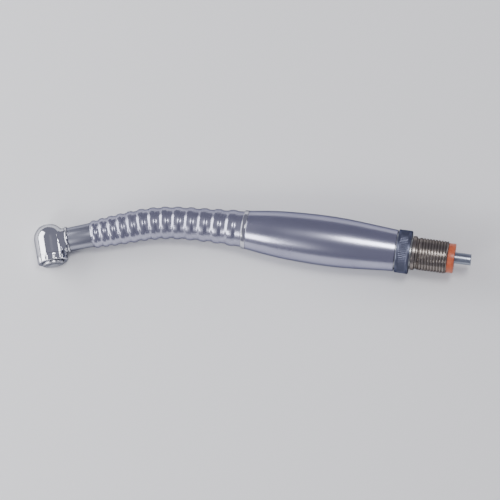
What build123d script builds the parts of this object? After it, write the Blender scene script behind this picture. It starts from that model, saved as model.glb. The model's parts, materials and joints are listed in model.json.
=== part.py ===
from build123d import *
import os
from math import cos, radians, sin

# High speed dental handpiece with a push-button air-turbine head and a quick-release swivel.
# Every length is in millimetres and every angle in degrees.
#
# The handpiece is drawn around a spine that starts on the turbine axis (distance 0) and ends
# at the tube at the rear. Seen along +Z the spine is a straight neck, a knee, a long slight
# bend under the grip and the straight barrel, all in one plane. While drawing, the barrel's
# axis is +X and starts at the origin; REST at the end lays the finished handpiece on a bench.

# --- spine ---
NECK_LENGTH = 27.6
KNEE_LENGTH = 14.0
KNEE_ANGLE = 15.0
BEND_LENGTH = 21.3
BEND_ANGLE = 4.5
BARREL_START = NECK_LENGTH + KNEE_LENGTH + BEND_LENGTH
KNEE_RADIUS = KNEE_LENGTH / radians(KNEE_ANGLE)
BEND_RADIUS = BEND_LENGTH / radians(BEND_ANGLE)

# --- head, along the turbine axis: negative towards the bur, positive towards the button ---
HEAD_R = 4.8
HEAD_NOSE = -5.55
NOSE_RING_TOP = -4.8
DOME_TOP = -1.4
DOME_REACH = 4.75
SHELL_TOP = 4.1
CAP_R = HEAD_R
CAP_FLOOR = 4.25
WELL_FLOOR = 4.75
WELL_R = 3.85
GUIDE_R = 1.9
LIP_R = 3.45
LIP = 5.78
CAP_TOP = 6.35
BUTTON_BOTTOM = 4.9
BUTTON_TOP = 7.15
DISH_R = 6.0
DISH_DEPTH = 0.25
NOSE_HOLE_R = 1.95
SEAT_R = 3.45
CHAMBER_R = 4.05
CHAMBER_FLOOR = -1.8
SEAM_FILLET = 0.4
SPRAY_R = 0.2
SPRAY_CIRCLE_R = 2.75
FIT = 0.03

# --- turbine ---
BEARING_OUTER_R = 3.175
BEARING_BORE_R = 1.59
BEARING_WIDTH = 2.4
FRONT_BEARING = -4.3
REAR_BEARING = 1.5
OUTER_RACE_BORE_R = 2.72
INNER_RACE_R = 2.04
BALL_R = 0.5
BALL_CIRCLE_R = 2.38
BALL_COUNT = 7
CAGE_R = 2.58
CAGE_BORE_R = 2.18
CAGE_HALF_WIDTH = 0.8
BEARING_SEAL_WIRE_R = 0.125
ROTOR_BOTTOM = -1.6
ROTOR_TOP = 1.2
ROTOR_R = 3.75
HUB_R = 2.3
BLADE_COUNT = 10
BLADE_THICKNESS = 0.28
SPINDLE_R = 1.58
SPINDLE_BORE_R = 1.15
SPINDLE_TOP = 4.1
WEB_LOW = 2.4
WEB_HIGH = 2.9
WEB_HOLE_R = 0.6
BUR_SHANK_R = 0.8
COLLET_TOP = 1.9
FINGER_LENGTH = 1.4
PLUNGER_TOP = 4.63
BUTTON_TRAVEL = 0.6
PLUNGER_TRAVEL = 0.35

# --- neck and grip ---
SOCKET_END = 5.2
BEAD_WIDTH = 0.95
BEAD_R = 4.15
NECK_START = SOCKET_END + BEAD_WIDTH
NECK_END = 13.4
NECK_R = 3.8
CORE_R = 3.25
CORE_BORE_R = 2.9
GRIP_END = 61.5
GRIP_FRONT_R = 4.25
GRIP_REAR_R = 5.95
GRIP_WAIST = 1.7
RIB_COUNT = 13
FIRST_RIB = 14.6
RIB_PITCH = 2.7
RIB_PITCH_GROWTH = 0.164
RIB_HEIGHT = 0.35
RIB_FOOT = 0.34
RIB_CREST = 0.16
GRIP_WALL = 0.8
JOINT_RING_R = 6.05

# --- barrel, collar and connector: distances along +X from the front of the barrel ---
BARREL_LENGTH = 46.5
BARREL_BELLY_R = 7.78
BARREL_REAR_R = 6.4
BARREL_KNOTS = [(6.0, 0), (7.0, 7.5), (7.55, 15), (BARREL_BELLY_R, 22), (7.66, 30), (7.05, 38.5),
                (BARREL_REAR_R, BARREL_LENGTH)]
BARREL_BORE_R = 5.7
BUSH_STEP = 8.0
CORE_BUSH_R = 4.6
COLLAR_FRONT = 46.8
COLLAR_REAR = 51.0
COLLAR_R = 6.7
COLLAR_TRAVEL = 0.8
SNAP_FRONT = 50.3
SNAP_REAR = 50.7
SNAP_RING_R = 5.3
SLEEVE_FRONT = 26.0
SLEEVE_REAR = 50.9
SLEEVE_R = 5.6
SLEEVE_BORE_R = 4.3
LOCK_X = 48.75
LOCK_BALL_R = 0.82
LOCK_CIRCLE_R = 4.79
LOCK_BALL_COUNT = 4
SPIGOT_FRONT = 27.0
SPIGOT_REAR = 62.4
SPIGOT_R = 4.25
O_RING_CENTRE_R = 3.775
AIR_BORE_R = 1.3
THREAD_FRONT = 51.4
SHOULDER_END = 52.6
THREAD_START = 53.6
THREAD_REAR = 62.5
THREAD_R = 5.0
GASKET_REAR = 64.7
GASKET_R = 4.6
TUBE_REAR = 69.7
TUBE_STEP = 0.2
DRIVE_TUBE_R = 1.7
DRIVE_TUBE_UP = 1.5
DRIVE_TUBE_FRONT = 56.5
WATER_TUBE_R = 0.8
WATER_TUBE_UP = -2.9
WATER_TUBE_FRONT = 57.0
EXHAUST_R = 0.8
EXHAUST_ACROSS = 3.1

# --- tubes inside the neck, the grip and the barrel, seen along the spine ---
INNER_AIR_R = 1.2
INNER_AIR_ACROSS = -1.0
INNER_SMALL_R = 0.5
INNER_SMALL_ACROSS = 1.3
INNER_SMALL_UP = 1.2
MANIFOLD_FRONT = 20.0
MANIFOLD_REAR = 25.7
AIR_JOIN = 22.5
VALVE_FRONT = 23.0
VALVE_R = 1.05
VALVE_ACROSS = 2.2
VALVE_UP = 2.9

# --- attitude on a bench: the belly of the barrel and the drum of the head both touch it ---
REST_PITCH = 1.97
REST_ROLL = 0.70


def spine_plane(s):
    """Plane across the spine, s along it from the turbine axis.

    Its normal points to the rear, its x towards the bur's side and its y up.
    """
    back = BARREL_START - s
    bend = min(max(back, 0), BEND_LENGTH)
    knee = min(max(back - BEND_LENGTH, 0), KNEE_LENGTH)
    neck = max(back - BEND_LENGTH - KNEE_LENGTH, 0)
    bend_turn = bend / BEND_RADIUS
    turn = bend_turn + knee / KNEE_RADIUS
    x = -BEND_RADIUS * sin(bend_turn) - KNEE_RADIUS * (sin(turn) - sin(bend_turn))
    y = -BEND_RADIUS * (1 - cos(bend_turn)) - KNEE_RADIUS * (cos(bend_turn) - cos(turn))
    x += max(-back, 0) - neck * cos(turn)
    y -= neck * sin(turn)
    return Plane(origin=(x, y, 0), x_dir=(-sin(turn), cos(turn), 0), z_dir=(cos(turn), sin(turn), 0))


def spine_point(s, across=0, up=0):
    return spine_plane(s).from_local_coords(Vector(across, up, 0))


NECK_PLANE = spine_plane(0)
HEAD = Plane(origin=NECK_PLANE.origin, x_dir=NECK_PLANE.z_dir, z_dir=-NECK_PLANE.x_dir)
BARREL = spine_plane(BARREL_START)


def turned(*outline):
    """Solid of revolution about the local Z axis from (radius, height) points."""
    return revolve(Plane.XZ * make_face(Polyline(*outline, close=True)), Axis.Z)


def ring(outer, inner, low, high):
    return turned((inner, low), (outer, low), (outer, high), (inner, high))


def rod(radius, low, high, x=0, y=0):
    return Pos(x, y, low) * extrude(Circle(radius), high - low)


def torus_ring(centre_r, wire_r, height):
    return Pos(0, 0, height) * Solid.make_torus(centre_r, wire_r)


def around(shape, count):
    return [Rot(0, 0, 360 * i / count) * shape for i in range(count)]


def along_spine(start, end, radius, across=0, up=0):
    """Round bar that follows the neck, the knee, the bend and the barrel."""
    knee_end = NECK_LENGTH + KNEE_LENGTH
    stops = [start, NECK_LENGTH, knee_end, BARREL_START, end]
    points = [spine_point(s, across, up) for s in stops]
    knee_middle = spine_point(NECK_LENGTH + KNEE_LENGTH / 2, across, up)
    bend_middle = spine_point(knee_end + BEND_LENGTH / 2, across, up)
    path = Wire([
        Edge.make_line(points[0], points[1]),
        Edge.make_three_point_arc(points[1], knee_middle, points[2]),
        Edge.make_three_point_arc(points[2], bend_middle, points[3]),
        Edge.make_line(points[3], points[4]),
    ])
    return sweep(spine_plane(start) * Pos(across, up) * Circle(radius), path=path)


def spine_tube(start, end, outer, inner, across=0, up=0):
    return along_spine(start, end, outer, across, up) - along_spine(start, end, inner, across, up)


# --- head ---


def dome_radius(height):
    """Outside radius of the rounded nose of the head."""
    reach = min((height - DOME_TOP) / DOME_REACH, 0)
    return HEAD_R * (1 - reach**2) ** 0.5


def domed(low, dome_end, *outline):
    """Solid of revolution whose outside follows the rounded nose from low to dome_end."""
    steps = 8
    heights = [low + (dome_end - low) * i / steps for i in range(steps + 1)]
    dome = Spline([(dome_radius(h), h) for h in heights])
    rest = Polyline(dome @ 1, *outline, dome @ 0)
    return revolve(Plane.XZ * make_face(Curve() + [dome, rest]), Axis.Z)


def head_shell():
    """Drum with its rounded nose, the bearing seat, the chamber and the socket for the neck."""
    shell = domed(NOSE_RING_TOP, DOME_TOP, (HEAD_R, SHELL_TOP), (0, SHELL_TOP), (0, NOSE_RING_TOP))
    shell += Rot(0, 90, 0) * rod(NECK_R, 0, SOCKET_END - FIT)
    seam = [edge for edge in shell.edges() if edge.geom_type == GeomType.BSPLINE]
    shell = fillet(seam, SEAM_FILLET)
    shell -= rod(NOSE_HOLE_R, HEAD_NOSE, FRONT_BEARING)
    shell -= rod(SEAT_R, FRONT_BEARING - FIT, CHAMBER_FLOOR)
    shell -= rod(CHAMBER_R, CHAMBER_FLOOR, SHELL_TOP)
    shell -= Rot(0, 90, 0) * rod(CORE_R + FIT, HEAD_R - 0.25, SOCKET_END)
    air_port = Rot(0, 90, 0) * rod(0.9, CHAMBER_R - 1, HEAD_R, y=1.7)
    return shell - air_port


def nose_ring():
    """Tip of the nose around the bur, with three spray holes."""
    top = NOSE_RING_TOP - FIT
    tip = domed(HEAD_NOSE, top, (NOSE_HOLE_R, top), (NOSE_HOLE_R, HEAD_NOSE))
    for hole in around(rod(SPRAY_R, HEAD_NOSE, NOSE_RING_TOP, x=SPRAY_CIRCLE_R), 3):
        tip -= hole
    return tip


def back_cap():
    """Screwed cap that holds the rear bearing and the button; grip notches round its rim."""
    skirt_r = CHAMBER_R - 0.04
    low = SHELL_TOP + FIT
    cap = turned((SEAT_R, REAR_BEARING), (skirt_r, REAR_BEARING), (skirt_r, low), (CAP_R, low),
                 (CAP_R, CAP_TOP - 0.45), (CAP_R - 0.45, CAP_TOP), (LIP_R, CAP_TOP), (LIP_R, LIP),
                 (WELL_R, LIP), (WELL_R, WELL_FLOOR), (GUIDE_R, WELL_FLOOR), (GUIDE_R, CAP_FLOOR),
                 (SEAT_R, CAP_FLOOR))
    for notch in around(rod(0.3, SHELL_TOP + 0.6, CAP_TOP, x=CAP_R + 0.12), 12):
        cap -= notch
    return cap


def push_button():
    flange_r = WELL_R - 0.12
    flange_top = LIP - FIT
    flange_low = WELL_FLOOR + BUTTON_TRAVEL + FIT
    under = flange_top - 0.1
    top_r = LIP_R - 0.1
    stem_r = GUIDE_R - 0.5
    wall_r = flange_r - 0.6
    button = turned((0, BUTTON_BOTTOM), (stem_r, BUTTON_BOTTOM), (stem_r, under), (wall_r, under),
                    (wall_r, flange_low), (flange_r, flange_low), (flange_r, flange_top),
                    (top_r, flange_top), (top_r, BUTTON_TOP - 0.4), (top_r - 0.25, BUTTON_TOP - 0.12), (2.4, BUTTON_TOP),
                    (0, BUTTON_TOP))
    return button - Pos(0, 0, BUTTON_TOP + DISH_R - DISH_DEPTH) * Sphere(DISH_R)


def button_spring():
    """Dished spring washer under the button."""
    low = WELL_FLOOR + FIT
    outer = 3.0
    inner = 1.75
    return turned((outer, low), (outer, low + 0.2), (inner, low + 0.8), (inner, low + 0.6))


def bearing(low):
    """Outer race, inner race, balls and cage of one ball bearing."""
    middle = low + BEARING_WIDTH / 2
    groove = torus_ring(BALL_CIRCLE_R, BALL_R + 0.03, middle)
    outer = ring(BEARING_OUTER_R, OUTER_RACE_BORE_R, low, low + BEARING_WIDTH) - groove
    inner = ring(INNER_RACE_R, BEARING_BORE_R, low, low + BEARING_WIDTH) - groove
    balls = around(Pos(BALL_CIRCLE_R, 0, middle) * Sphere(BALL_R), BALL_COUNT)
    cage = ring(CAGE_R, CAGE_BORE_R, middle - CAGE_HALF_WIDTH, middle + CAGE_HALF_WIDTH)
    for pocket in around(Pos(0, 0, middle) * Rot(0, 90, 0) * rod(BALL_R + 0.02, 2, 3), BALL_COUNT):
        cage -= pocket
    return {"outer_race": outer, "inner_race": inner, "balls": balls, "cage": cage}


def bearing_o_ring(low):
    return torus_ring((BEARING_OUTER_R + SEAT_R) / 2, BEARING_SEAL_WIRE_R, low + BEARING_WIDTH / 2)


def turbine_rotor():
    """Air turbine wheel: a hub with curved blades."""
    rotor = ring(HUB_R, SPINDLE_R + 0.01, ROTOR_BOTTOM, ROTOR_TOP)
    root = HUB_R - 0.1
    middle = (ROTOR_BOTTOM + ROTOR_TOP) / 2
    rotor += ring(ROTOR_R - 0.55, root, middle - 0.25, middle + 0.25)
    curve = ThreePointArc((root, 0), (3.1, 0.38), (ROTOR_R - 0.2, 1.15))
    blade = Pos(0, 0, ROTOR_BOTTOM) * extrude(trace(curve, BLADE_THICKNESS), ROTOR_TOP - ROTOR_BOTTOM)
    for wing in around(blade, BLADE_COUNT):
        rotor += wing
    return rotor & rod(ROTOR_R, ROTOR_BOTTOM, ROTOR_TOP)


def spindle():
    """Hollow shaft: collet bore in front, web with a guide hole, pocket for the spring behind."""
    return turned((SPINDLE_BORE_R, HEAD_NOSE), (SPINDLE_R, HEAD_NOSE), (SPINDLE_R, SPINDLE_TOP),
                  (SPINDLE_BORE_R, SPINDLE_TOP), (SPINDLE_BORE_R, WEB_HIGH), (WEB_HOLE_R, WEB_HIGH),
                  (WEB_HOLE_R, WEB_LOW), (SPINDLE_BORE_R, WEB_LOW))


def chuck_collet():
    """Sleeve that grips the bur's shank, split into three fingers at its rear."""
    collet = ring(SPINDLE_BORE_R - 0.02, BUR_SHANK_R, HEAD_NOSE + 0.05, COLLET_TOP)
    saw_cut = Pos(0.9, 0, COLLET_TOP - FINGER_LENGTH / 2) * Box(0.8, 0.25, FINGER_LENGTH)
    for slot in around(saw_cut, 3):
        collet -= slot
    return collet


def chuck_plunger():
    tip = COLLET_TOP + 0.15
    stem_r = WEB_HOLE_R - 0.1
    head_r = SPINDLE_BORE_R - 0.2
    return turned((0, tip), (stem_r - 0.15, tip), (stem_r, tip + 0.3), (stem_r, SPINDLE_TOP),
                  (head_r, SPINDLE_TOP), (head_r, PLUNGER_TOP), (0, PLUNGER_TOP))


def chuck_spring():
    """Three dished washers between the spindle's web and the plunger's head."""
    washers = []
    inner = WEB_HOLE_R
    outer = SPINDLE_BORE_R - 0.15
    for i in range(3):
        low = WEB_HIGH + FIT + 0.37 * i
        washers.append(turned((inner, low + 0.2), (outer, low), (outer, low + 0.12), (inner, low + 0.32)))
    return washers


def wave_washer():
    return ring(BEARING_OUTER_R - 0.1, HUB_R, REAR_BEARING + BEARING_WIDTH + FIT, CAP_FLOOR - FIT)


# --- neck, grip and barrel ---


def neck_bead():
    middle = SOCKET_END + BEAD_WIDTH / 2
    bead = spine_plane(middle) * Solid.make_torus(BEAD_R - BEAD_WIDTH / 2, BEAD_WIDTH / 2 - 0.02)
    band = spine_plane(SOCKET_END) * ring(NECK_R - 0.1, CORE_R + FIT, 0.02, BEAD_WIDTH - 0.02)
    return bead + band - spine_plane(SOCKET_END) * rod(CORE_R + FIT, -1, BEAD_WIDTH + 1)


def neck_sleeve():
    length = NECK_END - NECK_START
    return spine_plane(NECK_START) * turned((CORE_R + FIT, FIT), (NECK_R - 0.15, FIT), (NECK_R, length),
                                            (CORE_R + FIT, length))


def grip_radius(s):
    """Radius over the ribs: it swells behind the head, holds at the knee and swells again."""
    t = (s - NECK_END) / (GRIP_END - NECK_END)
    return GRIP_FRONT_R + (GRIP_REAR_R - GRIP_FRONT_R) * (t + GRIP_WAIST * t * (1 - t) * (1 - 2 * t))


def rib_places():
    """Middle and half pitch of every rib, from the head to the barrel."""
    place = FIRST_RIB
    places = []
    for i in range(RIB_COUNT):
        pitch = RIB_PITCH + RIB_PITCH_GROWTH * i
        places.append((place, pitch))
        place += pitch
    return places


def ribbed_grip():
    sections = [(NECK_END + FIT, grip_radius(NECK_END) - RIB_HEIGHT)]
    for place, pitch in rib_places():
        foot = RIB_FOOT * pitch
        crest = RIB_CREST * pitch
        for offset, depth in ((-foot, RIB_HEIGHT), (-crest, 0), (crest, 0), (foot, RIB_HEIGHT)):
            sections.append((place + offset, grip_radius(place + offset) - depth))
    sections.append((GRIP_END, grip_radius(GRIP_END) - RIB_HEIGHT))
    grip = loft([spine_plane(s) * Circle(radius) for s, radius in sections], ruled=True)
    grip -= along_spine(NECK_END - 2, BARREL_START + 2, CORE_R + FIT)
    steps = 6
    start = NECK_LENGTH - 6
    stops = [start + (GRIP_END - 3 - start) * i / steps for i in range(steps + 1)]
    hollow = [spine_plane(s) * Circle(grip_radius(s) - RIB_HEIGHT - GRIP_WALL) for s in stops]
    return grip - loft(hollow, ruled=True)


def joint_ring():
    length = BARREL_START - GRIP_END
    rim = JOINT_RING_R - 0.2
    return spine_plane(GRIP_END) * turned((CORE_BUSH_R, FIT), (rim, FIT), (JOINT_RING_R, 0.3),
                                          (JOINT_RING_R, length - 0.3), (rim, length - FIT),
                                          (CORE_BUSH_R, length - FIT))


def barrel_shell():
    """Smooth swelling cover of the barrel."""
    skin = Spline(BARREL_KNOTS)
    relief_r = BARREL_BELLY_R - 1.2
    inside = Polyline(skin @ 1, (BARREL_BORE_R, BARREL_LENGTH), (BARREL_BORE_R, MANIFOLD_FRONT + 0.5),
                      (relief_r, MANIFOLD_FRONT - 1), (relief_r, 12), (BARREL_BORE_R, 10.6),
                      (BARREL_BORE_R, BUSH_STEP), (CORE_BUSH_R, BUSH_STEP), (CORE_BUSH_R, 0), skin @ 0)
    return revolve(Plane.XZ * make_face(Curve() + [skin, inside]), Axis.Z)


def core_bush():
    """Flanged bush that centres the core tube in the front of the barrel."""
    inner = CORE_R + FIT
    neck = CORE_BUSH_R - FIT
    flange = BARREL_BORE_R - FIT
    step = BUSH_STEP + FIT
    return turned((inner, 0.3), (neck, 0.3), (neck, step), (flange, step), (flange, 10.5), (inner, 10.5))


def manifold():
    """Block at the end of the coupling sleeve that the inner tubes start from."""
    block = rod(BARREL_BORE_R - 0.05, MANIFOLD_FRONT, MANIFOLD_REAR)
    small_bore = INNER_SMALL_R + 0.02
    block -= rod(AIR_BORE_R, AIR_JOIN, MANIFOLD_REAR)
    block -= rod(INNER_AIR_R + 0.02, MANIFOLD_FRONT, AIR_JOIN, x=INNER_AIR_ACROSS)
    block -= rod(small_bore, MANIFOLD_FRONT, VALVE_FRONT, x=INNER_SMALL_ACROSS, y=INNER_SMALL_UP)
    block -= rod(small_bore, MANIFOLD_FRONT, MANIFOLD_REAR, x=INNER_SMALL_ACROSS, y=-INNER_SMALL_UP)
    block -= rod(VALVE_R + 0.05, VALVE_FRONT, MANIFOLD_REAR, x=VALVE_ACROSS, y=VALVE_UP)
    link_across = (INNER_SMALL_ACROSS + VALVE_ACROSS) / 2
    link_up = (INNER_SMALL_UP + VALVE_UP) / 2
    return block - rod(0.3, VALVE_FRONT - 0.2, VALVE_FRONT + 2, x=link_across, y=link_up)


def anti_retraction_valve():
    """Soft duckbill that keeps water from being drawn back into the line."""
    front = VALVE_FRONT + 0.05
    lips = front + 2.5
    valve = turned((0.25, front), (VALVE_R, front), (VALVE_R, front + 0.95), (0.5, lips), (0.25, lips))
    return Pos(VALVE_ACROSS, VALVE_UP) * valve


def coupling_sleeve():
    """Sleeve in the rear of the barrel: bore for the swivel, ball holes and a snap-ring groove."""
    sleeve = ring(SLEEVE_R, SLEEVE_BORE_R, SLEEVE_FRONT, SLEEVE_REAR)
    sleeve -= ring(SLEEVE_R + 1, SNAP_RING_R - 0.02, SNAP_FRONT - 0.02, SNAP_REAR + 0.02)
    ball_hole = Pos(0, 0, LOCK_X) * Rot(0, 90, 0) * rod(LOCK_BALL_R + 0.04, 3, 7)
    for hole in around(ball_hole, LOCK_BALL_COUNT):
        sleeve -= hole
    return sleeve


def lock_balls():
    return around(Pos(LOCK_CIRCLE_R, 0, LOCK_X) * Sphere(LOCK_BALL_R), LOCK_BALL_COUNT)


def release_collar():
    land = SLEEVE_R + 0.08
    rim = COLLAR_R - 0.2
    inside = COLLAR_R - 0.62
    land_front = LOCK_X - 0.75
    land_rear = LOCK_X + 0.6
    return turned((inside, COLLAR_FRONT), (rim, COLLAR_FRONT), (COLLAR_R, COLLAR_FRONT + 0.3),
                  (COLLAR_R, COLLAR_REAR - 0.3), (rim, COLLAR_REAR), (inside, COLLAR_REAR),
                  (inside, land_rear), (land, land_rear), (land, land_front), (inside, land_front))


def collar_spring():
    """Flat wave spring between the collar and the snap ring."""
    return ring(6.0, SLEEVE_R + 0.08, LOCK_X + 0.63, SNAP_FRONT - 0.06)


def snap_ring():
    gap = Pos(SLEEVE_R, 0, SNAP_FRONT) * Box(2.0, 1.2, 1.0)
    return ring(5.95, SNAP_RING_R, SNAP_FRONT, SNAP_REAR) - gap


def o_ring_places():
    return [SPIGOT_FRONT + 3.5, SPIGOT_FRONT + 9.5, SPIGOT_FRONT + 15.5]


def port_places():
    """Where water and exhaust air pass between the sleeve and the spigot."""
    return [SPIGOT_FRONT + 6.5, SPIGOT_FRONT + 12.5]


def swivel_spigot():
    """Turning spigot with its seal grooves, ball groove and passages for air, water and exhaust."""
    spigot = rod(SPIGOT_R, SPIGOT_FRONT, SPIGOT_REAR)
    for place in o_ring_places():
        spigot -= ring(SPIGOT_R + 1, O_RING_CENTRE_R - 0.525, place - 0.6, place + 0.6)
    for place in port_places():
        spigot -= ring(SPIGOT_R + 1, 3.9, place - 1, place + 1)
    spigot -= torus_ring(LOCK_CIRCLE_R, LOCK_BALL_R + 0.05, LOCK_X)
    spigot -= rod(AIR_BORE_R, SPIGOT_FRONT, DRIVE_TUBE_FRONT)
    spigot -= rod(DRIVE_TUBE_R + TUBE_STEP + 0.01, DRIVE_TUBE_FRONT - 0.5, SPIGOT_REAR, y=DRIVE_TUBE_UP)
    water_port, air_port = port_places()
    spigot -= rod(0.3, water_port, WATER_TUBE_FRONT, y=WATER_TUBE_UP)
    spigot -= rod(WATER_TUBE_R + TUBE_STEP + 0.01, WATER_TUBE_FRONT, SPIGOT_REAR, y=WATER_TUBE_UP)
    spigot -= Pos(0, WATER_TUBE_UP, water_port) * Rot(90, 0, 0) * rod(0.3, 0, 3)
    for side in (-1, 1):
        spigot -= rod(0.6, air_port, SPIGOT_REAR, x=side * EXHAUST_ACROSS * 0.8)
    return spigot


def swivel_o_rings():
    return [torus_ring(O_RING_CENTRE_R, 0.5, place) for place in o_ring_places()]


def threaded_connector():
    """Sleeve screwed on the spigot; the hose's nut screws on its outside."""
    inside = SPIGOT_R + 0.01
    shoulder = THREAD_R + 0.25
    relief = THREAD_R - 0.3
    return turned((inside, THREAD_FRONT), (THREAD_R, THREAD_FRONT), (shoulder, THREAD_FRONT + 0.25),
                  (shoulder, SHOULDER_END), (relief, SHOULDER_END + 0.2), (relief, THREAD_START - 0.3),
                  (THREAD_R, THREAD_START), (THREAD_R, THREAD_REAR - 0.3), (relief, THREAD_REAR),
                  (inside, THREAD_REAR))


def connector_gasket():
    """Soft ring between the connector and the hose, with holes for tubes and exhaust air."""
    low = THREAD_REAR + 0.02
    gasket = turned((0, low), (GASKET_R, low), (GASKET_R, GASKET_REAR - 0.3),
                    (GASKET_R - 0.3, GASKET_REAR), (0, GASKET_REAR))
    for radius, up in ((DRIVE_TUBE_R, DRIVE_TUBE_UP), (WATER_TUBE_R, WATER_TUBE_UP)):
        gasket -= rod(radius + TUBE_STEP + 0.01, low, GASKET_REAR, y=up)
    for side in (-1, 1):
        gasket -= rod(EXHAUST_R, low, GASKET_REAR, x=side * EXHAUST_ACROSS)
    return gasket


def inlet_tube(radius, wall, up, front):
    """Tube that stands out of the gasket, thicker where it sits inside the connector."""
    thick = radius + TUBE_STEP
    return Pos(0, up) * turned((radius - wall, front), (thick, front), (thick, GASKET_REAR),
                               (radius, GASKET_REAR), (radius, TUBE_REAR - 0.15),
                               (radius - 0.15, TUBE_REAR), (radius - wall, TUBE_REAR))


# --- all nodes, each placed on the handpiece ---

front = bearing(FRONT_BEARING)
rear = bearing(REAR_BEARING)

head_nodes = {
    "head_shell": head_shell(),
    "nose_ring": nose_ring(),
    "back_cap": back_cap(),
    "push_button": push_button(),
    "button_spring": button_spring(),
    "wave_washer": wave_washer(),
    "front_o_ring": bearing_o_ring(FRONT_BEARING),
    "rear_o_ring": bearing_o_ring(REAR_BEARING),
    "turbine_rotor": turbine_rotor(),
    "spindle": spindle(),
    "chuck_collet": chuck_collet(),
    "chuck_plunger": chuck_plunger(),
    "chuck_spring": chuck_spring(),
}
for name, piece in front.items():
    head_nodes["front_bearing_" + name] = piece
for name, piece in rear.items():
    head_nodes["rear_bearing_" + name] = piece

tube_front = HEAD_R + 0.1
small_outer = INNER_SMALL_R
small_inner = INNER_SMALL_R - 0.2
spine_nodes = {
    "neck_bead": neck_bead(),
    "neck_sleeve": neck_sleeve(),
    "core_tube": spine_tube(HEAD_R - 0.2, BARREL_START + 12, CORE_R, CORE_BORE_R),
    "drive_air_tube": spine_tube(tube_front, BARREL_START + AIR_JOIN - 0.1,
                                 INNER_AIR_R, INNER_AIR_R - 0.25, INNER_AIR_ACROSS),
    "water_tube": spine_tube(tube_front, BARREL_START + VALVE_FRONT - 0.1,
                             small_outer, small_inner, INNER_SMALL_ACROSS, INNER_SMALL_UP),
    "chip_air_tube": spine_tube(tube_front, BARREL_START + MANIFOLD_REAR - 0.7,
                                small_outer, small_inner, INNER_SMALL_ACROSS, -INNER_SMALL_UP),
    "ribbed_grip": ribbed_grip(),
    "joint_ring": joint_ring(),
}

barrel_nodes = {
    "barrel_shell": barrel_shell(),
    "core_bush": core_bush(),
    "manifold": manifold(),
    "anti_retraction_valve": anti_retraction_valve(),
    "coupling_sleeve": coupling_sleeve(),
    "lock_balls": lock_balls(),
    "release_collar": release_collar(),
    "collar_spring": collar_spring(),
    "snap_ring": snap_ring(),
    "swivel_spigot": swivel_spigot(),
    "swivel_o_rings": swivel_o_rings(),
    "threaded_connector": threaded_connector(),
    "connector_gasket": connector_gasket(),
    "drive_air_inlet": inlet_tube(DRIVE_TUBE_R, 0.3, DRIVE_TUBE_UP, DRIVE_TUBE_FRONT),
    "water_inlet": inlet_tube(WATER_TUBE_R, 0.25, WATER_TUBE_UP, WATER_TUBE_FRONT),
}

nodes = {name: HEAD * Compound(children=piece) if isinstance(piece, list) else HEAD * piece
         for name, piece in head_nodes.items()}
nodes.update(spine_nodes)
for name, piece in barrel_nodes.items():
    nodes[name] = BARREL * Compound(children=piece) if isinstance(piece, list) else BARREL * piece

laid = Rot(REST_ROLL, -REST_PITCH, 0)
box = Compound(children=[laid * shape for shape in nodes.values()]).bounding_box()
REST = Pos(-box.center().X, -box.center().Y, -box.min.Z) * laid

if __name__ == "__main__":
    os.makedirs("parts", exist_ok=True)
    for name, shape in nodes.items():
        export_step(REST * shape, f"parts/{name}.step")
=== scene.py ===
import json
import math

import bmesh
import bpy
import numpy as np
from mathutils import Matrix, Vector


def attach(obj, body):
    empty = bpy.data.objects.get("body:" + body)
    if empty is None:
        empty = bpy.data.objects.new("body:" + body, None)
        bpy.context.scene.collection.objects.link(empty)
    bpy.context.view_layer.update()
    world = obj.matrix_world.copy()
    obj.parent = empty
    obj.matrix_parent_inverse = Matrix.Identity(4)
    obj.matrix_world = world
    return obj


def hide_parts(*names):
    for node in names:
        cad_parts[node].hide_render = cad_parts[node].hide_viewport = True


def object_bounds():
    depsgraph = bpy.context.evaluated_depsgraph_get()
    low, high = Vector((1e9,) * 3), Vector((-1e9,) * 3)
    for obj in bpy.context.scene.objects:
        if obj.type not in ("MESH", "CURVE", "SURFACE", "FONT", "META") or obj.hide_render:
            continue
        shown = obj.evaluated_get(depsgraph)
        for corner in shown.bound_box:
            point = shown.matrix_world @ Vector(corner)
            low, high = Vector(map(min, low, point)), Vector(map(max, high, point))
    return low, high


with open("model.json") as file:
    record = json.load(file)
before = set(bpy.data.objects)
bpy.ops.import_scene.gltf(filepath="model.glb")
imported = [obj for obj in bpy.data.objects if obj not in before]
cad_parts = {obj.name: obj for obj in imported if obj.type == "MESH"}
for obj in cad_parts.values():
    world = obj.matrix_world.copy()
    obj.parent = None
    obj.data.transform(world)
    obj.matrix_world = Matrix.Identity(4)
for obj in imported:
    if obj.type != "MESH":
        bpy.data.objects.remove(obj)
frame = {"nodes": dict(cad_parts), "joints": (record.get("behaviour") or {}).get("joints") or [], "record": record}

MM = 0.001
FINE_ROUND = 0.08
CAD_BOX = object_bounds()
JOINTS = {joint["name"]: joint for joint in frame["joints"]}

# ---------------------------------------------------------------- directions and places

# the turbine's axis points at the bur, the swivel's axis at the hose
BUR = Vector(JOINTS["turbine_spin"]["axis"]).normalized()
REAR = Vector(JOINTS["hose_swivel"]["axis"]).normalized()
UP = REAR.cross(BUR).normalized()
NECK_BACK = BUR.cross(UP).normalized()
HEAD_POINT = Vector(JOINTS["turbine_spin"]["pos_m"])

# spine of the handpiece in millimetres, as in the CAD
NECK_LENGTH = 27.6
KNEE_LENGTH = 14.0
KNEE_ANGLE = math.radians(15.0)
BEND_LENGTH = 21.3
BEND_ANGLE = math.radians(4.5)
BARREL_START = NECK_LENGTH + KNEE_LENGTH + BEND_LENGTH
SWIVEL_POINT_X = 40.0
BARREL_FRONT = Vector(JOINTS["hose_swivel"]["pos_m"]) - SWIVEL_POINT_X * MM * REAR
SIDE = UP.cross(REAR).normalized()


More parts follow.
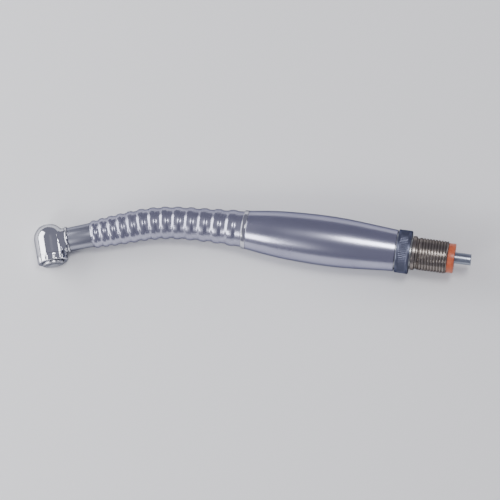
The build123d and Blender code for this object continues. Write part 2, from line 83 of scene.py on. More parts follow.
def axes_matrix(origin, along, across):
    """Matrix whose Z runs along, X across and Y up."""
    up = along.cross(across)
    matrix = Matrix((across, up, along)).transposed().to_4x4()
    matrix.translation = origin
    return matrix


HEAD = axes_matrix(HEAD_POINT, -BUR, NECK_BACK)
BARREL = axes_matrix(BARREL_FRONT, REAR, SIDE)


def spine_matrix(s):
    """Place on the spine, s millimetres from the turbine's axis: Z runs to the rear."""
    knee_radius = KNEE_LENGTH / KNEE_ANGLE
    bend_radius = BEND_LENGTH / BEND_ANGLE
    back = BARREL_START - s
    bend = min(max(back, 0), BEND_LENGTH) / bend_radius
    knee = min(max(back - BEND_LENGTH, 0), KNEE_LENGTH) / knee_radius
    neck = max(back - BEND_LENGTH - KNEE_LENGTH, 0)
    turn = bend + knee
    x = -bend_radius * math.sin(bend) - knee_radius * (math.sin(turn) - math.sin(bend))
    y = -bend_radius * (1 - math.cos(bend)) - knee_radius * (math.cos(bend) - math.cos(turn))
    x += max(-back, 0) - neck * math.cos(turn)
    y -= neck * math.sin(turn)
    along = REAR * math.cos(turn) + SIDE * math.sin(turn)
    across = SIDE * math.cos(turn) - REAR * math.sin(turn)
    origin = BARREL_FRONT + (REAR * x + SIDE * y) * MM
    return axes_matrix(origin, along, across)


# ---------------------------------------------------------------- mesh tools

SHARP_ANGLE = math.radians(35)
PLATE_SEGMENTS = 96
MERGE_DISTANCE = 1e-6


def new_object(name, mesh):
    piece = bpy.data.objects.new(name, mesh)
    bpy.context.scene.collection.objects.link(piece)
    return piece


def rings_to_mesh(name, rings, close_loop):
    """Skins a list of equal rings of points; the outline closes on itself or ends in caps."""
    count = len(rings[0])
    points = [point for ring in rings for point in ring]
    faces = []
    last = len(rings) if close_loop else len(rings) - 1
    for i in range(last):
        a = i * count
        b = (i + 1) % len(rings) * count
        for j in range(count):
            k = (j + 1) % count
            faces.append((a + j, a + k, b + k, b + j))
    if not close_loop:
        faces.append(tuple(reversed(range(count))))
        faces.append(tuple(range((len(rings) - 1) * count, len(rings) * count)))
    mesh = bpy.data.meshes.new(name)
    mesh.from_pydata(points, [], faces)
    mesh.validate()
    work = bmesh.new()
    work.from_mesh(mesh)
    bmesh.ops.recalc_face_normals(work, faces=work.faces)
    work.to_mesh(mesh)
    work.free()
    return mesh


def smooth(mesh):
    mesh.shade_smooth()
    mesh.set_sharp_from_angle(angle=SHARP_ANGLE)


def circle_points(matrix, height, radius, segments):
    """Ring of points about the matrix's Z; the radius may change with angle and height."""
    ring = []
    for j in range(segments):
        angle = 2 * math.pi * j / segments
        r = radius(angle, height) if callable(radius) else radius
        ring.append(matrix @ (Vector((r * math.cos(angle), r * math.sin(angle), height)) * MM))
    return ring


def lathe(name, outline, matrix, segments, close_loop=True):
    """Turned piece from (radius, height) points in millimetres about the matrix's Z."""
    rings = [circle_points(matrix, height, radius, segments) for radius, height in outline]
    mesh = rings_to_mesh(name, rings, close_loop)
    smooth(mesh)
    return new_object(name, mesh)


def corner(before, at, after, radius, steps=4):
    """Points of a rounded corner of an outline."""
    before, at, after = Vector(before), Vector(at), Vector(after)
    start = at + (before - at).normalized() * min(radius, (before - at).length / 2.1)
    end = at + (after - at).normalized() * min(radius, (after - at).length / 2.1)
    points = []
    for k in range(steps + 1):
        t = k / steps
        point = start * (1 - t) ** 2 + at * 2 * t * (1 - t) + end * t**2
        points.append((point.x, point.y))
    return points


def rounded(points, radius):
    """Closed outline with every corner rounded."""
    result = []
    for i, at in enumerate(points):
        result += corner(points[i - 1], at, points[(i + 1) % len(points)], radius)
    return result


def cubic_through(knots):
    """Natural cubic curve y(x) through the knots."""
    xs = np.array([x for x, y in knots])
    ys = np.array([y for x, y in knots])
    gaps = np.diff(xs)
    count = len(xs)
    system = np.eye(count)
    right = np.zeros(count)
    for i in range(1, count - 1):
        system[i, i - 1:i + 2] = (gaps[i - 1], 2 * (gaps[i - 1] + gaps[i]), gaps[i])
        right[i] = 6 * ((ys[i + 1] - ys[i]) / gaps[i] - (ys[i] - ys[i - 1]) / gaps[i - 1])
    bends = np.linalg.solve(system, right)

    def value(x):
        i = min(max(int(np.searchsorted(xs, x)) - 1, 0), count - 2)
        a = (xs[i + 1] - x) / gaps[i]
        b = (x - xs[i]) / gaps[i]
        curve = (a**3 - a) * bends[i] + (b**3 - b) * bends[i + 1]
        return float(a * ys[i] + b * ys[i + 1] + curve * gaps[i] ** 2 / 6)

    return value


def plate_with_holes(name, matrix, radius, holes, low, high, edge):
    """Round plate with round holes (radius, x, y) and every edge rounded."""
    data = bpy.data.curves.new(name + "_outline", "CURVE")
    data.dimensions = "2D"
    data.fill_mode = "BOTH"
    data.extrude = (high - low) / 2 - edge
    data.bevel_depth = edge
    data.bevel_resolution = 3
    data.offset = -edge
    for circle_r, x, y in [(radius, 0, 0)] + holes:
        spline = data.splines.new("POLY")
        spline.points.add(PLATE_SEGMENTS - 1)
        spline.use_cyclic_u = True
        for j in range(PLATE_SEGMENTS):
            angle = 2 * math.pi * j / PLATE_SEGMENTS
            spline.points[j].co = (x + circle_r * math.cos(angle), y + circle_r * math.sin(angle), 0, 1)
    source = new_object(name + "_outline", data)
    mesh = bpy.data.meshes.new_from_object(source)
    bpy.data.objects.remove(source)
    mesh.transform(Matrix.Translation((0, 0, (low + high) / 2)))
    mesh.transform(matrix @ Matrix.Scale(MM, 4))
    work = bmesh.new()
    work.from_mesh(mesh)
    bmesh.ops.remove_doubles(work, verts=work.verts, dist=MERGE_DISTANCE)
    bmesh.ops.recalc_face_normals(work, faces=work.faces)
    work.to_mesh(mesh)
    work.free()
    smooth(mesh)
    return new_object(name, mesh)


def smooth_step(low, high, x):
    """0 below low, 1 above high and a soft rise between them."""
    t = min(max((x - low) / (high - low), 0), 1)
    return t * t * (3 - 2 * t)


# ---------------------------------------------------------------- camera

TARGET = (Vector(CAD_BOX[0]) + Vector(CAD_BOX[1])) / 2
TO_CAMERA = Vector((0.092, -0.207, 0.974)).normalized()
CAMERA_DISTANCE = 0.66
FRAME_WIDTH = 0.155
PICTURE_SLOPE = math.radians(8.0)
SENSOR = 36
NEAREST = 0.01
FARTHEST = 10


def make_camera():
    """Camera at the viewing angle, rolled so that the barrel runs down to the right."""
    data = bpy.data.cameras.new("camera")
    camera = bpy.data.objects.new("camera", data)
    bpy.context.scene.collection.objects.link(camera)
    flat = (REAR - TO_CAMERA * REAR.dot(TO_CAMERA)).normalized()
    right = Matrix.Rotation(PICTURE_SLOPE, 3, TO_CAMERA) @ flat
    up = TO_CAMERA.cross(right)
    matrix = Matrix((right, up, TO_CAMERA)).transposed().to_4x4()
    matrix.translation = TARGET + TO_CAMERA * CAMERA_DISTANCE
    camera.matrix_world = matrix
    data.sensor_width = SENSOR
    data.sensor_height = SENSOR
    data.lens = SENSOR * CAMERA_DISTANCE / FRAME_WIDTH
    data.clip_start = NEAREST
    data.clip_end = FARTHEST
    bpy.context.scene.camera = camera
    return right, up


PICTURE_RIGHT, PICTURE_UP = make_camera()

# ---------------------------------------------------------------- floor and light

FLOOR_HALF = 1.5
FLOOR_COLOUR = (0.86, 0.86, 0.87, 1)
FLOOR_ROUGHNESS = 0.9
WORLD_COLOUR = (0.50, 0.50, 0.62, 1)
WORLD_STRENGTH = 0.5


def material(name):
    """New material with its node tree and its shader."""
    made = bpy.data.materials.new(name)
    made.use_nodes = True
    return made, made.node_tree, made.node_tree.nodes["Principled BSDF"]


def floor():
    mesh = bpy.data.meshes.new("floor")
    corners = [(x * FLOOR_HALF, y * FLOOR_HALF, 0) for x, y in ((-1, -1), (1, -1), (1, 1), (-1, 1))]
    mesh.from_pydata(corners, [], [(0, 1, 2, 3)])
    plane = new_object("floor", mesh)
    paper, _, shader = material("floor_paper")
    shader.inputs["Base Color"].default_value = FLOOR_COLOUR
    shader.inputs["Roughness"].default_value = FLOOR_ROUGHNESS
    mesh.materials.append(paper)


def soft_box(name, direction, distance, width, height, power):
    """Area light in a direction given as parts of picture right, picture up and to the camera.

    Its height runs as near to picture up as it can.
    """
    right, up, towards = direction
    line = (PICTURE_RIGHT * right + PICTURE_UP * up + TO_CAMERA * towards).normalized()
    data = bpy.data.lights.new(name, "AREA")
    data.shape = "RECTANGLE"
    data.size = width
    data.size_y = height
    data.energy = power
    light = bpy.data.objects.new(name, data)
    bpy.context.scene.collection.objects.link(light)
    tall = (PICTURE_UP - line * PICTURE_UP.dot(line)).normalized()
    matrix = Matrix((tall.cross(line), tall, line)).transposed().to_4x4()
    matrix.translation = TARGET + line * distance
    light.matrix_world = matrix


def lights():
    world = bpy.data.worlds.new("studio")
    bpy.context.scene.world = world
    world.use_nodes = True
    background = world.node_tree.nodes["Background"]
    background.inputs["Color"].default_value = WORLD_COLOUR
    background.inputs["Strength"].default_value = WORLD_STRENGTH
    soft_box("key", (0.12, 0.30, 0.95), distance=0.8, width=0.18, height=0.2, power=2.4)
    soft_box("left", (-0.90, 0.24, 0.37), distance=0.65, width=0.44, height=0.8, power=5.6)
    soft_box("low", (-0.58, -0.47, 0.67), distance=0.7, width=0.18, height=0.26, power=1.6)
    soft_box("right", (0.78, 0.48, 0.30), distance=0.6, width=0.1, height=0.1, power=0.22)


floor()
lights()

# ---------------------------------------------------------------- materials

NOISE_ROUGHNESS = 0.55

# lathe rings on turned metal, and the blotches that handling leaves
TURNING_SCALE = 2500
TURNING_STRETCH = (0.03, 0.03, 1.0)
TURNING_STRENGTH = 0.08
TURNING_DEPTH = 0.00002
HANDLING_SCALE = 130
HANDLING_STRETCH = (1, 1, 0.6)

# how much of its colour a metal keeps at its grazing edges
METAL_EDGE_TINT = (0.12, 0.125, 0.16, 1)

# fine grain of rubber, resin and ceramic
GRAIN_SCALE = 900
GRAIN_STRENGTH = 0.2
GRAIN_DEPTH = 0.00003
ROUGHNESS_SPREAD = 0.08


def link(tree, a, b):
    tree.links.new(a, b)


def stretched_noise(tree, matrix, scale, stretch, detail):
    """Noise in the piece's own directions, stretched along x, y, z of the matrix's axes."""
    nodes = tree.nodes
    coordinates = nodes.new("ShaderNodeTexCoord")
    mapping = nodes.new("ShaderNodeMapping")
    mapping.vector_type = "TEXTURE"
    mapping.inputs["Location"].default_value = matrix.translation
    mapping.inputs["Rotation"].default_value = matrix.to_euler()
    link(tree, coordinates.outputs["Object"], mapping.inputs["Vector"])
    scaled = nodes.new("ShaderNodeVectorMath")
    scaled.operation = "MULTIPLY"
    scaled.inputs[1].default_value = stretch
    link(tree, mapping.outputs["Vector"], scaled.inputs[0])
    noise = nodes.new("ShaderNodeTexNoise")
    noise.inputs["Scale"].default_value = scale
    noise.inputs["Detail"].default_value = detail
    noise.inputs["Roughness"].default_value = NOISE_ROUGHNESS
    link(tree, scaled.outputs["Vector"], noise.inputs["Vector"])
    return noise.outputs["Fac"]


def ramp(tree, value, low, high, low_at=0.3, high_at=0.7):
    """Colour ramp between two grey values or two colours."""
    node = tree.nodes.new("ShaderNodeValToRGB")
    link(tree, value, node.inputs["Fac"])
    stops = node.color_ramp.elements
    for stop, colour, place in ((stops[0], low, low_at), (stops[1], high, high_at)):
        stop.position = place
        stop.color = (*colour, 1) if isinstance(colour, tuple) else (colour, colour, colour, 1)
    return node.outputs["Color"]


def bump(tree, shader, height, strength, distance):
    node = tree.nodes.new("ShaderNodeBump")
    node.inputs["Strength"].default_value = strength
    node.inputs["Distance"].default_value = distance
    link(tree, height, node.inputs["Height"])
    link(tree, node.outputs["Normal"], shader.inputs["Normal"])


def metal(name, dark, light, rough_low, rough_high, matrix):
    """Turned metal: fine rings from the lathe, soft blotches of handling, small tone changes."""
    made, tree, shader = material(name)
    shader.inputs["Metallic"].default_value = 1
    shader.inputs["Specular Tint"].default_value = METAL_EDGE_TINT
    rings = stretched_noise(tree, matrix, TURNING_SCALE, TURNING_STRETCH, 2)
    blotch = stretched_noise(tree, matrix, HANDLING_SCALE, HANDLING_STRETCH, 4)
    link(tree, ramp(tree, blotch, dark, light), shader.inputs["Base Color"])
    link(tree, ramp(tree, blotch, rough_high, rough_low, 0.25, 0.75), shader.inputs["Roughness"])
    bump(tree, shader, rings, TURNING_STRENGTH, TURNING_DEPTH)
    return made


# the blue-lavender lean of the neck, grip, barrel and inlet steels is a painted reflection of a purple
# surrounding, laid into their base colours; their dark-to-light blotches are random tone
FINISHES = {
    "polished_head": metal("polished_head", (0.66, 0.67, 0.72), (0.80, 0.81, 0.85), 0.05, 0.12, HEAD),
    "button_metal": metal("button_metal", (0.50, 0.51, 0.55), (0.62, 0.63, 0.67), 0.22, 0.32, HEAD),
    "neck_satin": metal("neck_satin", (0.36, 0.37, 0.44), (0.44, 0.45, 0.52), 0.25, 0.36, spine_matrix(9)),
    "grip_satin": metal("grip_satin", (0.41, 0.41, 0.52), (0.50, 0.50, 0.62), 0.22, 0.32, spine_matrix(30)),
    "polished_ring": metal("polished_ring", (0.60, 0.60, 0.66), (0.72, 0.72, 0.78), 0.12, 0.2, BARREL),
    "barrel_satin": metal("barrel_satin", (0.41, 0.41, 0.53), (0.49, 0.49, 0.62), 0.20, 0.29, BARREL),
    "dark_collar": metal("dark_collar", (0.11, 0.12, 0.17), (0.17, 0.18, 0.25), 0.32, 0.45, BARREL),
    "connector_bronze": metal("connector_bronze", (0.26, 0.23, 0.21), (0.38, 0.34, 0.31), 0.2, 0.36, BARREL),
    "inlet_steel": metal("inlet_steel", (0.32, 0.35, 0.42), (0.42, 0.45, 0.52), 0.25, 0.35, BARREL),
    "inner_tube": metal("inner_tube", (0.55, 0.56, 0.58), (0.66, 0.67, 0.69), 0.2, 0.3, BARREL),
    "alloy_block": metal("alloy_block", (0.60, 0.61, 0.62), (0.70, 0.71, 0.72), 0.3, 0.4, BARREL),
    "spring_steel": metal("spring_steel", (0.45, 0.46, 0.48), (0.58, 0.59, 0.61), 0.2, 0.3, BARREL),
    "bearing_steel": metal("bearing_steel", (0.62, 0.63, 0.65), (0.72, 0.73, 0.75), 0.1, 0.2, HEAD),
    "rotor_alloy": metal("rotor_alloy", (0.64, 0.65, 0.66), (0.75, 0.76, 0.77), 0.2, 0.3, HEAD),
}


def soft_material(name, dark, light, rough):
    """Rubber, resin or ceramic with a fine grain in colour, gloss and height."""
    made, tree, shader = material(name)
    grain = stretched_noise(tree, BARREL, GRAIN_SCALE, (1, 1, 1), 4)
    link(tree, ramp(tree, grain, dark, light), shader.inputs["Base Color"])
    gloss = ramp(tree, grain, rough - ROUGHNESS_SPREAD, rough + ROUGHNESS_SPREAD)
    link(tree, gloss, shader.inputs["Roughness"])
    bump(tree, shader, grain, GRAIN_STRENGTH, GRAIN_DEPTH)
    return made


FINISHES["orange_seal"] = soft_material("orange_seal", (0.40, 0.075, 0.03), (0.56, 0.13, 0.055), 0.34)
FINISHES["black_seal"] = soft_material("black_seal", (0.02, 0.02, 0.022), (0.05, 0.05, 0.055), 0.5)
FINISHES["clear_seal"] = soft_material("clear_seal", (0.7, 0.7, 0.68), (0.85, 0.85, 0.83), 0.4)
FINISHES["ceramic_balls"] = soft_material("ceramic_balls", (0.8, 0.8, 0.78), (0.9, 0.9, 0.88), 0.15)
FINISHES["cage_resin"] = soft_material("cage_resin", (0.28, 0.15, 0.07), (0.45, 0.27, 0.14), 0.55)


def dress(piece, slot):
    piece.data.materials.clear()
    piece.data.materials.append(FINISHES[slot])


def add(piece, body, slot, node):
    """Puts a made piece on its body, gives it its finish and hides the CAD node that it stands for."""
    dress(piece, slot)
    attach(piece, body)
    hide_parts(node)


for subpart in frame["record"]["subparts"]:
    dress(frame["nodes"][subpart["node"]], subpart["material_slot"])

# ---------------------------------------------------------------- head, neck and grip

HEAD_R = 4.8
SHELL_TOP = 4.1
CHAMBER_R = 4.05
SEAT_R = 3.45
CAP_R = HEAD_R
CAP_SKIRT = 1.5
CAP_FLOOR = 4.25
CAP_TOP = 6.35
WELL_FLOOR = 4.75
WELL_R = 3.85
LIP_R = 3.45
LIP = 5.78
GUIDE_R = 1.9
BUTTON_BOTTOM = 4.9
BUTTON_TOP = 7.15
BUTTON_TRAVEL = 0.6
FIT = 0.03

# grip notches of the cap: depth, half width as a share of the pitch, and how far above the shell they start
NOTCH_COUNT = 12
NOTCH_DEPTH = 0.2
NOTCH_HALF = 0.17
NOTCH_FOOT = 0.45
NOTCH_FULL = 0.8
NOTCH_ROWS = 16
CAP_ROUND = 0.35
CAP_PLAIN_EDGE = 0.2
SKIRT_GAP = 0.04

FLANGE_GAP = 0.12
BUTTON_GAP = 0.1
BUTTON_ROOF = 0.1
BUTTON_WALL = 0.5
BUTTON_HOLLOW_R = 3.1
BUTTON_ROUND = 0.3
DISH_OUTER_R = 2.75
DISH_CENTRE_R = 0.01
DISH_RIM_R = 2.7
DISH_DEPTH = 0.32
DISH_STEPS = 39
GROOVE_R = 2.3
GROOVE_HALF = 0.12
GROOVE_DEPTH = 0.06

CORE_R = 3.28
SOCKET_END = 5.2
BEAD_R = 4.15
BEAD_GAP = 0.02
BEAD_ROUND = 0.45
BEAD_FLANK = 0.4
BEAD_STEPS = 16
NECK_START = 6.15
NECK_END = 13.4
NECK_R = 3.8
NECK_TAPER = 0.15
GRIP_END = 61.5
GRIP_FRONT_R = 4.25
GRIP_REAR_R = 5.95
GRIP_WAIST = 1.7
RIB_COUNT = 13
FIRST_RIB = 14.6
RIB_PITCH = 2.7
RIB_PITCH_GROWTH = 0.164
RIB_HEIGHT = 0.35

# shape of one rib, in shares of the pitch away from its middle
RIB_CROWN_END = 0.3
RIB_CROWN_DROP = 0.25
RIB_SHOULDER = 0.15
RIB_FOOT = 0.38

GRIP_STEPS = 420
GRIP_SEGMENTS = 128
GRIP_BORE_STEPS = 20
GRIP_EDGE_DROP = 0.12
GRIP_EDGE_LENGTH = 0.15


def back_cap():
    """Screwed cap with rounded grip notches round its rim."""

    def notched(radius):
        def at(angle, height):
            turn = (angle * NOTCH_COUNT / (2 * math.pi)) % 1 - 0.5
            depth = NOTCH_DEPTH * (1 - smooth_step(0, NOTCH_HALF, abs(turn)))
            return radius - depth * smooth_step(SHELL_TOP + NOTCH_FOOT, SHELL_TOP + NOTCH_FULL, height)
        return at

    skirt = CHAMBER_R - SKIRT_GAP
    low = SHELL_TOP + FIT
    low_edge = (CAP_R, low)
    top_edge = (CAP_R, CAP_TOP)
    lip_edge = (LIP_R, CAP_TOP)
    first = low + CAP_PLAIN_EDGE
    last = CAP_TOP - CAP_ROUND
    outline = [(SEAT_R, CAP_SKIRT), (skirt, CAP_SKIRT), (skirt, low)]
    outline += corner((skirt, low), low_edge, top_edge, FINE_ROUND)
    outline += [(notched(CAP_R), first + (last - first) * i / NOTCH_ROWS) for i in range(NOTCH_ROWS + 1)]
    outline += [(notched(r), h) for r, h in corner(low_edge, top_edge, lip_edge, CAP_ROUND, 8)]
    outline += corner(top_edge, lip_edge, (LIP_R, LIP), FINE_ROUND)
    outline += [(LIP_R, LIP), (WELL_R, LIP), (WELL_R, WELL_FLOOR), (GUIDE_R, WELL_FLOOR),
                (GUIDE_R, CAP_FLOOR), (SEAT_R, CAP_FLOOR)]
    add(lathe("cap_with_notches", outline, HEAD, 288), "handpiece", "polished_head", "back_cap")


def push_button():
    """Dished button with a rounded rim and one fine turned groove."""
    flange_r = WELL_R - FLANGE_GAP
    flange_top = LIP - FIT
    flange_low = WELL_FLOOR + BUTTON_TRAVEL + FIT
    under = flange_top - BUTTON_ROOF
    top_r = LIP_R - BUTTON_GAP
    stem_r = GUIDE_R - BUTTON_WALL
    outline = [(stem_r, BUTTON_BOTTOM), (stem_r, under), (BUTTON_HOLLOW_R, under),
               (BUTTON_HOLLOW_R, flange_low), (flange_r, flange_low), (flange_r, flange_top),
               (top_r, flange_top)]
    outline += corner((top_r, flange_top), (top_r, BUTTON_TOP), (0, BUTTON_TOP), BUTTON_ROUND, 8)
    for i in range(DISH_STEPS + 1):
        r = DISH_OUTER_R - (DISH_OUTER_R - DISH_CENTRE_R) * i / DISH_STEPS
        dish = DISH_DEPTH * (1 - smooth_step(0, DISH_RIM_R, r))
        groove = GROOVE_DEPTH * max(0, 1 - abs(r - GROOVE_R) / GROOVE_HALF)
        outline.append((r, BUTTON_TOP - dish - groove))
    button = lathe("dished_button", outline, HEAD, 144, close_loop=False)
    add(button, "button", "button_metal", "push_button")


def bead():
    """Round bead between the head's socket and the neck."""
    middle = (SOCKET_END + NECK_START) / 2
    half = (NECK_START - SOCKET_END) / 2 - BEAD_GAP
    outline = [(CORE_R, half), (CORE_R, -half), (BEAD_R - BEAD_FLANK, -half)]
    for i in range(1, BEAD_STEPS):
        angle = math.pi * i / BEAD_STEPS - math.pi / 2
        outline.append((BEAD_R - BEAD_ROUND + BEAD_ROUND * math.cos(angle), half * math.sin(angle)))
    outline.append((BEAD_R - BEAD_FLANK, half))
    add(lathe("rounded_bead", outline, spine_matrix(middle), 144), "handpiece", "polished_head", "neck_bead")


def neck():
    length = NECK_END - NECK_START
    profile = [(CORE_R, FIT), (NECK_R - NECK_TAPER, FIT), (NECK_R, length), (CORE_R, length)]
    sleeve = lathe("smooth_neck", rounded(profile, FINE_ROUND), spine_matrix(NECK_START), 144)
    add(sleeve, "handpiece", "neck_satin", "neck_sleeve")


def grip_radius(s):
    """Radius over the ribs: it swells behind the head, holds at the knee and swells again."""
    t = (s - NECK_END) / (GRIP_END - NECK_END)
    return GRIP_FRONT_R + (GRIP_REAR_R - GRIP_FRONT_R) * (t + GRIP_WAIST * t * (1 - t) * (1 - 2 * t))


def rib_shape(s):
    """0 in a groove and 1 on a rib, with rounded shoulders and a rounded foot."""
    place = FIRST_RIB
    for i in range(RIB_COUNT):
        pitch = RIB_PITCH + RIB_PITCH_GROWTH * i
        away = abs(s - place) / pitch
        if away < 0.5:
            crown = 1 - RIB_CROWN_DROP * min(away / RIB_CROWN_END, 1) ** 2
            return crown * (1 - smooth_step(RIB_SHOULDER, RIB_FOOT, away))
        place += pitch
    return 0


def grip():
    """Grip with soft rings, skinned along the bent spine."""
    start = NECK_END + FIT
    length = GRIP_END - start
    rings = []
    for i in range(GRIP_STEPS + 1):
        s = start + length * i / GRIP_STEPS
        radius = grip_radius(s) - RIB_HEIGHT * (1 - rib_shape(s))
        edge = min(s - start, GRIP_END - s)
        radius -= GRIP_EDGE_DROP * (1 - smooth_step(0, GRIP_EDGE_LENGTH, edge))
        rings.append(circle_points(spine_matrix(s), 0, radius, GRIP_SEGMENTS))
    for i in range(GRIP_BORE_STEPS + 1):
        s = GRIP_END - length * i / GRIP_BORE_STEPS
        rings.append(circle_points(spine_matrix(s), 0, CORE_R, GRIP_SEGMENTS))
    mesh = rings_to_mesh("ringed_grip", rings, True)
    smooth(mesh)
    add(new_object("ringed_grip", mesh), "handpiece", "grip_satin", "ribbed_grip")


back_cap()
push_button()
bead()
neck()
grip()

# ---------------------------------------------------------------- barrel, collar and connector

JOINT_RING_R = 6.05
JOINT_RING_ROUND = 0.22

# barrel's skin as (distance from its front, radius), and its bore with a wider pocket inside
BARREL_LENGTH = 46.5
BARREL_KNOTS = [(0, 6.0), (7.5, 7.0), (15, 7.55), (22, 7.78), (30, 7.66), (38.5, 7.05), (BARREL_LENGTH, 6.4)]
BARREL_STEPS = 110
BARREL_ROUND = 0.18
BARREL_END = 0.5
BARREL_BORE_R = 5.7
BUSH_SEAT = 8
POCKET = [(20.5, BARREL_BORE_R), (19, 6.58), (12, 6.58), (10.6, BARREL_BORE_R)]
CORE_BUSH_R = 4.6

COLLAR_FRONT = 46.8
COLLAR_REAR = 51.0
COLLAR_R = 6.7
COLLAR_WALL = 0.62
COLLAR_ROUND = 0.28
COLLAR_LAND_R = 5.68
LOCK_X = 48.75
LAND_FRONT = LOCK_X - 0.75
LAND_REAR = LOCK_X + 0.6
FLUTE_COUNT = 72
FLUTE_DEPTH = 0.11
FLUTE_START = 0.75
FLUTE_FULL = 1.0
FLUTE_MARGIN = 0.6
FLUTE_ROWS = 26

# screw thread of the connector; its root is given as shares of the pitch: flank, floor and flank
THREAD_FRONT = 51.4
SHOULDER_END = 52.6
THREAD_START = 53.6
THREAD_REAR = 62.5
THREAD_R = 5.0
THREAD_PITCH = 0.9
THREAD_DEPTH = 0.32
THREAD_ROOT = (0.25, 0.45, 0.55, 0.75)
THREAD_ROWS = 170
THREAD_RUN_IN = 0.5
THREAD_CHAMFER = 0.3
THREAD_CHAMFER_LENGTH = 0.35
SHOULDER_R = THREAD_R + 0.25
SHOULDER_FRONT_ROUND = 0.3
SHOULDER_REAR_ROUND = 0.15
RELIEF_R = THREAD_R - 0.3
RELIEF_FRONT = SHOULDER_END + 0.2
RELIEF_REAR = THREAD_START - 0.35
THREAD_LEAD = 0.05
SPIGOT_R = 4.26

GASKET_R = 4.6
GASKET_REAR = 64.7
GASKET_ROUND = 0.22
GASKET_GAP = 0.02
TUBE_REAR = 69.7
TUBE_STEP = 0.2
TUBE_STEP_LENGTH = 0.05
HOLE_GAP = 0.01
DRIVE_R = 1.7
DRIVE_UP = 1.5
WATER_R = 0.8
WATER_UP = -2.9
EXHAUST_R = 0.8
EXHAUST_ACROSS = 3.1


def joint_ring():
    rear = BARREL_START - GRIP_END - FIT
    profile = [(CORE_BUSH_R, FIT), (JOINT_RING_R, FIT), (JOINT_RING_R, rear), (CORE_BUSH_R, rear)]
    ring = lathe("joint_ring_rounded", rounded(profile, JOINT_RING_ROUND), spine_matrix(GRIP_END), 160)
    add(ring, "handpiece", "polished_ring", "joint_ring")


def barrel():
    """Swelling barrel with softly rounded ends."""
    skin = cubic_through(BARREL_KNOTS)
    first = BARREL_END
    last = BARREL_LENGTH - BARREL_END
    front = (skin(0), 0)
    rear = (skin(BARREL_LENGTH), BARREL_LENGTH)
    bore_rear = (BARREL_BORE_R, BARREL_LENGTH)
    outline = corner((CORE_BUSH_R, 0), front, (skin(first), first), BARREL_ROUND)
    outline += [(skin(x), x) for x in np.linspace(first, last, BARREL_STEPS)]
    outline += corner((skin(last), last), rear, bore_rear, BARREL_ROUND)
    outline.append(bore_rear)
    outline += [(radius, x) for x, radius in POCKET]
    outline += [(BARREL_BORE_R, BUSH_SEAT), (CORE_BUSH_R, BUSH_SEAT), (CORE_BUSH_R, 0)]
    add(lathe("swelling_barrel", outline, BARREL, 192), "handpiece", "barrel_satin", "barrel_shell")


def collar():
    """Release collar with fine straight knurling between two plain rims."""

    def knurled(angle, height):
        wave = 0.5 - 0.5 * math.cos(angle * FLUTE_COUNT)
        edge = min(height - COLLAR_FRONT, COLLAR_REAR - height)
        return COLLAR_R - FLUTE_DEPTH * wave * smooth_step(FLUTE_START, FLUTE_FULL, edge)

    inside = COLLAR_R - COLLAR_WALL
    front = (COLLAR_R, COLLAR_FRONT)
    rear = (COLLAR_R, COLLAR_REAR)
    rows = np.linspace(COLLAR_FRONT + FLUTE_MARGIN, COLLAR_REAR - FLUTE_MARGIN, FLUTE_ROWS)
    outline = corner((inside, COLLAR_FRONT), front, rear, COLLAR_ROUND, 6)
    outline += [(knurled, height) for height in rows]
    outline += corner(front, rear, (inside, COLLAR_REAR), COLLAR_ROUND, 6)
    outline += [(inside, COLLAR_REAR), (inside, LAND_REAR), (COLLAR_LAND_R, LAND_REAR),
                (COLLAR_LAND_R, LAND_FRONT), (inside, LAND_FRONT), (inside, COLLAR_FRONT)]
    add(lathe("knurled_collar", outline, BARREL, 576), "collar", "dark_collar", "release_collar")


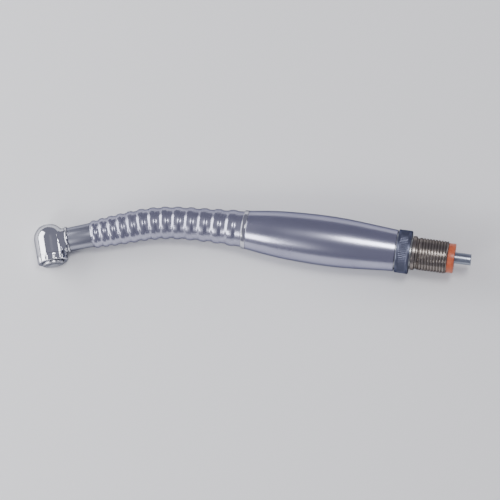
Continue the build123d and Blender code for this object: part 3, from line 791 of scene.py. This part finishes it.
def connector():
    """Connector with a real screw thread that runs out at both ends."""

    def thread(angle, height):
        turn = (height / THREAD_PITCH - angle / (2 * math.pi)) % 1
        falls, floor_from, floor_to, rises = THREAD_ROOT
        valley = smooth_step(falls, floor_from, turn) * (1 - smooth_step(floor_to, rises, turn))
        fade = smooth_step(THREAD_START, THREAD_START + THREAD_RUN_IN, height)
        end = THREAD_CHAMFER * (1 - smooth_step(0, THREAD_CHAMFER_LENGTH, THREAD_REAR - height))
        return THREAD_R - THREAD_DEPTH * valley * fade - end

    front = (SHOULDER_R, THREAD_FRONT)
    rear = (SHOULDER_R, SHOULDER_END)
    outline = corner((SPIGOT_R, THREAD_FRONT), front, rear, SHOULDER_FRONT_ROUND, 6)
    outline += corner(front, rear, (RELIEF_R, SHOULDER_END), SHOULDER_REAR_ROUND)
    outline += [(RELIEF_R, RELIEF_FRONT), (RELIEF_R, RELIEF_REAR),
                (THREAD_R - THREAD_LEAD, THREAD_START - THREAD_LEAD)]
    outline += [(thread, height) for height in np.linspace(THREAD_START, THREAD_REAR, THREAD_ROWS)]
    outline.append((SPIGOT_R, THREAD_REAR))
    outline.append((SPIGOT_R, THREAD_FRONT))
    add(lathe("screw_connector", outline, BARREL, 160), "swivel", "connector_bronze", "threaded_connector")


def gasket():
    """Soft ring behind the thread, with holes for both tubes and the exhaust air."""
    wider = TUBE_STEP + HOLE_GAP
    holes = [(DRIVE_R + wider, 0, DRIVE_UP), (WATER_R + wider, 0, WATER_UP),
             (EXHAUST_R, EXHAUST_ACROSS, 0), (EXHAUST_R, -EXHAUST_ACROSS, 0)]
    low = THREAD_REAR + GASKET_GAP
    plate = plate_with_holes("rounded_gasket", BARREL, GASKET_R, holes, low, GASKET_REAR, GASKET_ROUND)
    add(plate, "swivel", "orange_seal", "connector_gasket")


def tube_end(name, node, radius, wall, up, front):
    """Inlet tube with a rounded mouth, thicker inside the connector."""
    thick = radius + TUBE_STEP
    bore = radius - wall
    lip = wall / 2.2
    outline = [(bore, front), (thick, front), (thick, GASKET_REAR - TUBE_STEP_LENGTH), (radius, GASKET_REAR)]
    outline += corner((radius, GASKET_REAR), (radius, TUBE_REAR), (bore, TUBE_REAR), lip, 5)
    outline += corner((radius, TUBE_REAR), (bore, TUBE_REAR), (bore, front), lip, 5)
    place = BARREL @ Matrix.Translation((0, up * MM, 0))
    add(lathe(name, outline, place, 96), "swivel", "inlet_steel", node)


joint_ring()
barrel()
collar()
connector()
gasket()
tube_end("drive_air_tube_end", "drive_air_inlet", DRIVE_R, wall=0.3, up=DRIVE_UP, front=56.5)
tube_end("water_tube_end", "water_inlet", WATER_R, wall=0.25, up=WATER_UP, front=57.0)
